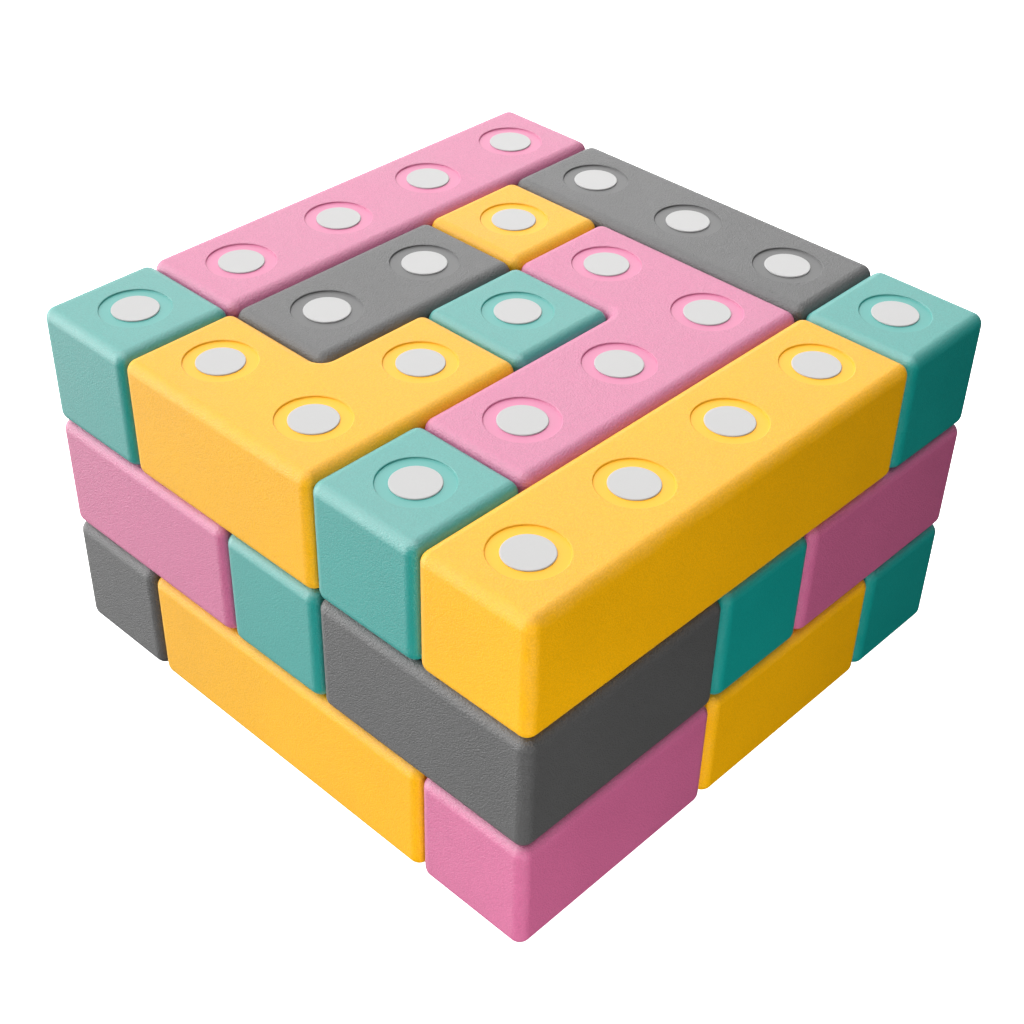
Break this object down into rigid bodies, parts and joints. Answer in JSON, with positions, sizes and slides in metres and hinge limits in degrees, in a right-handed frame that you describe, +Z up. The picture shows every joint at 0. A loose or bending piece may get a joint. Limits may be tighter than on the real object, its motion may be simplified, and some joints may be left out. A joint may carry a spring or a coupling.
{
  "type": "building block stack",
  "caption": "Low square stack of large rounded foam building blocks in several shapes, with white magnet discs in shallow round recesses; the blocks lift off or pull out.",
  "frame": {"origin": "centre of the stack's footprint, on the floor", "axes": "+Z up; +X and +Y along the two equal sides of the square stack; the picture's left face is the -Y face and its right face the +X face"},
  "size_m": [0.749, 0.749, 0.4496],
  "materials": {
    "foam_pink": "matte",
    "foam_teal": "matte",
    "foam_yellow": "matte",
    "foam_gray": "matte",
    "disc_white": "satin"
  },
  "bodies": {
    "top_pink_bar": {"top_pink_bar": "foam_pink", "top_pink_bar_discs": "disc_white"},
    "top_gray_bar": {"top_gray_bar": "foam_gray", "top_gray_bar_discs": "disc_white"},
    "top_yellow_bar": {"top_yellow_bar": "foam_yellow", "top_yellow_bar_discs": "disc_white"},
    "top_gray_domino": {"top_gray_domino": "foam_gray", "top_gray_domino_discs": "disc_white"},
    "top_pink_ell": {"top_pink_ell": "foam_pink", "top_pink_ell_discs": "disc_white"},
    "top_yellow_corner": {"top_yellow_corner": "foam_yellow", "top_yellow_corner_discs": "disc_white"},
    "top_yellow_cube": {"top_yellow_cube": "foam_yellow", "top_yellow_cube_discs": "disc_white"},
    "top_teal_cube_left": {"top_teal_cube_left": "foam_teal", "top_teal_cube_left_discs": "disc_white"},
    "top_teal_cube_front": {"top_teal_cube_front": "foam_teal", "top_teal_cube_front_discs": "disc_white"},
    "top_teal_cube_middle": {"top_teal_cube_middle": "foam_teal", "top_teal_cube_middle_discs": "disc_white"},
    "top_teal_cube_back": {"top_teal_cube_back": "foam_teal", "top_teal_cube_back_discs": "disc_white"},
    "mid_pink_domino_front": {"mid_pink_domino_front": "foam_pink", "mid_pink_domino_front_discs": "disc_white"},
    "mid_teal_cube": {"mid_teal_cube": "foam_teal", "mid_teal_cube_discs": "disc_white"},
    "mid_gray_corner": {"mid_gray_corner": "foam_gray", "mid_gray_corner_discs": "disc_white"},
    "mid_teal_bar": {"mid_teal_bar": "foam_teal", "mid_teal_bar_discs": "disc_white"},
    "mid_pink_ell": {"mid_pink_ell": "foam_pink", "mid_pink_ell_discs": "disc_white"},
    "mid_yellow_bar": {"mid_yellow_bar": "foam_yellow", "mid_yellow_bar_discs": "disc_white"},
    "mid_gray_bar": {"mid_gray_bar": "foam_gray", "mid_gray_bar_discs": "disc_white"},
    "mid_pink_domino_left": {"mid_pink_domino_left": "foam_pink", "mid_pink_domino_left_discs": "disc_white"},
    "mid_yellow_domino": {"mid_yellow_domino": "foam_yellow", "mid_yellow_domino_discs": "disc_white"},
    "base_gray_domino": {"base_gray_domino": "foam_gray", "base_gray_domino_discs": "disc_white"},
    "base_yellow_bar_front": {"base_yellow_bar_front": "foam_yellow", "base_yellow_bar_front_discs": "disc_white"},
    "base_pink_domino": {"base_pink_domino": "foam_pink", "base_pink_domino_discs": "disc_white"},
    "base_yellow_domino": {"base_yellow_domino": "foam_yellow", "base_yellow_domino_discs": "disc_white"},
    "base_teal_cube": {"base_teal_cube": "foam_teal", "base_teal_cube_discs": "disc_white"},
    "base_pink_ell": {"base_pink_ell": "foam_pink", "base_pink_ell_discs": "disc_white"},
    "base_gray_ell": {"base_gray_ell": "foam_gray", "base_gray_ell_discs": "disc_white"},
    "base_yellow_bar_inner": {"base_yellow_bar_inner": "foam_yellow", "base_yellow_bar_inner_discs": "disc_white"},
    "base_teal_ell": {"base_teal_ell": "foam_teal", "base_teal_ell_discs": "disc_white"}
  },
  "joints": [
    {"name": "top_pink_bar_lift", "type": "slide", "parent": "base_teal_ell", "child": "top_pink_bar", "axis": [0, 0, 1], "range_m": [0, 0.2]},
    {"name": "top_gray_bar_lift", "type": "slide", "parent": "base_teal_ell", "child": "top_gray_bar", "axis": [0, 0, 1], "range_m": [0, 0.2]},
    {"name": "top_yellow_bar_lift", "type": "slide", "parent": "base_teal_ell", "child": "top_yellow_bar", "axis": [0, 0, 1], "range_m": [0, 0.2]},
    {"name": "top_gray_domino_lift", "type": "slide", "parent": "base_teal_ell", "child": "top_gray_domino", "axis": [0, 0, 1], "range_m": [0, 0.2]},
    {"name": "top_pink_ell_lift", "type": "slide", "parent": "base_teal_ell", "child": "top_pink_ell", "axis": [0, 0, 1], "range_m": [0, 0.2]},
    {"name": "top_yellow_corner_lift", "type": "slide", "parent": "base_teal_ell", "child": "top_yellow_corner", "axis": [0, 0, 1], "range_m": [0, 0.2]},
    {"name": "top_yellow_cube_lift", "type": "slide", "parent": "base_teal_ell", "child": "top_yellow_cube", "axis": [0, 0, 1], "range_m": [0, 0.2]},
    {"name": "top_teal_cube_left_lift", "type": "slide", "parent": "base_teal_ell", "child": "top_teal_cube_left", "axis": [0, 0, 1], "range_m": [0, 0.2]},
    {"name": "top_teal_cube_front_lift", "type": "slide", "parent": "base_teal_ell", "child": "top_teal_cube_front", "axis": [0, 0, 1], "range_m": [0, 0.2]},
    {"name": "top_teal_cube_middle_lift", "type": "slide", "parent": "base_teal_ell", "child": "top_teal_cube_middle", "axis": [0, 0, 1], "range_m": [0, 0.2]},
    {"name": "top_teal_cube_back_lift", "type": "slide", "parent": "base_teal_ell", "child": "top_teal_cube_back", "axis": [0, 0, 1], "range_m": [0, 0.2]},
    {"name": "mid_pink_domino_front_pull", "type": "slide", "parent": "base_teal_ell", "child": "mid_pink_domino_front", "axis": [0, -1, 0], "range_m": [0, 0.2]},
    {"name": "mid_teal_cube_pull", "type": "slide", "parent": "base_teal_ell", "child": "mid_teal_cube", "axis": [0, -1, 0], "range_m": [0, 0.2]},
    {"name": "mid_gray_corner_pull", "type": "slide", "parent": "base_teal_ell", "child": "mid_gray_corner", "axis": [0, -1, 0], "range_m": [0, 0.35]},
    {"name": "mid_teal_bar_pull", "type": "slide", "parent": "base_teal_ell", "child": "mid_teal_bar", "axis": [1, 0, 0], "range_m": [0, 0.5]},
    {"name": "mid_pink_ell_pull", "type": "slide", "parent": "base_teal_ell", "child": "mid_pink_ell", "axis": [0, 1, 0], "range_m": [0, 0.35]},
    {"name": "mid_yellow_bar_pull", "type": "slide", "parent": "base_teal_ell", "child": "mid_yellow_bar", "axis": [-1, 0, 0], "range_m": [0, 0.65]},
    {"name": "mid_gray_bar_pull", "type": "slide", "parent": "base_teal_ell", "child": "mid_gray_bar", "axis": [-1, 0, 0], "range_m": [0, 0.65]},
    {"name": "mid_pink_domino_left_pull", "type": "slide", "parent": "base_teal_ell", "child": "mid_pink_domino_left", "axis": [-1, 0, 0], "range_m": [0, 0.35]},
    {"name": "mid_yellow_domino_pull", "type": "slide", "parent": "base_teal_ell", "child": "mid_yellow_domino", "axis": [0, 1, 0], "range_m": [0, 0.2]},
    {"name": "base_gray_domino_pull", "type": "slide", "parent": "base_teal_ell", "child": "base_gray_domino", "axis": [-1, 0, 0], "range_m": [0, 0.2]},
    {"name": "base_yellow_bar_front_pull", "type": "slide", "parent": "base_teal_ell", "child": "base_yellow_bar_front", "axis": [0, -1, 0], "range_m": [0, 0.2]},
    {"name": "base_pink_domino_pull", "type": "slide", "parent": "base_teal_ell", "child": "base_pink_domino", "axis": [1, 0, 0], "range_m": [0, 0.2]},
    {"name": "base_yellow_domino_pull", "type": "slide", "parent": "base_teal_ell", "child": "base_yellow_domino", "axis": [1, 0, 0], "range_m": [0, 0.2]},
    {"name": "base_teal_cube_pull", "type": "slide", "parent": "base_teal_ell", "child": "base_teal_cube", "axis": [1, 0, 0], "range_m": [0, 0.2]},
    {"name": "base_pink_ell_pull", "type": "slide", "parent": "base_teal_ell", "child": "base_pink_ell", "axis": [0, 1, 0], "range_m": [0, 0.35]},
    {"name": "base_gray_ell_pull", "type": "slide", "parent": "base_teal_ell", "child": "base_gray_ell", "axis": [-1, 0, 0], "range_m": [0, 0.5]},
    {"name": "base_yellow_bar_inner_pull", "type": "slide", "parent": "base_teal_ell", "child": "base_yellow_bar_inner", "axis": [-1, 0, 0], "range_m": [0, 0.5]}
  ]
}
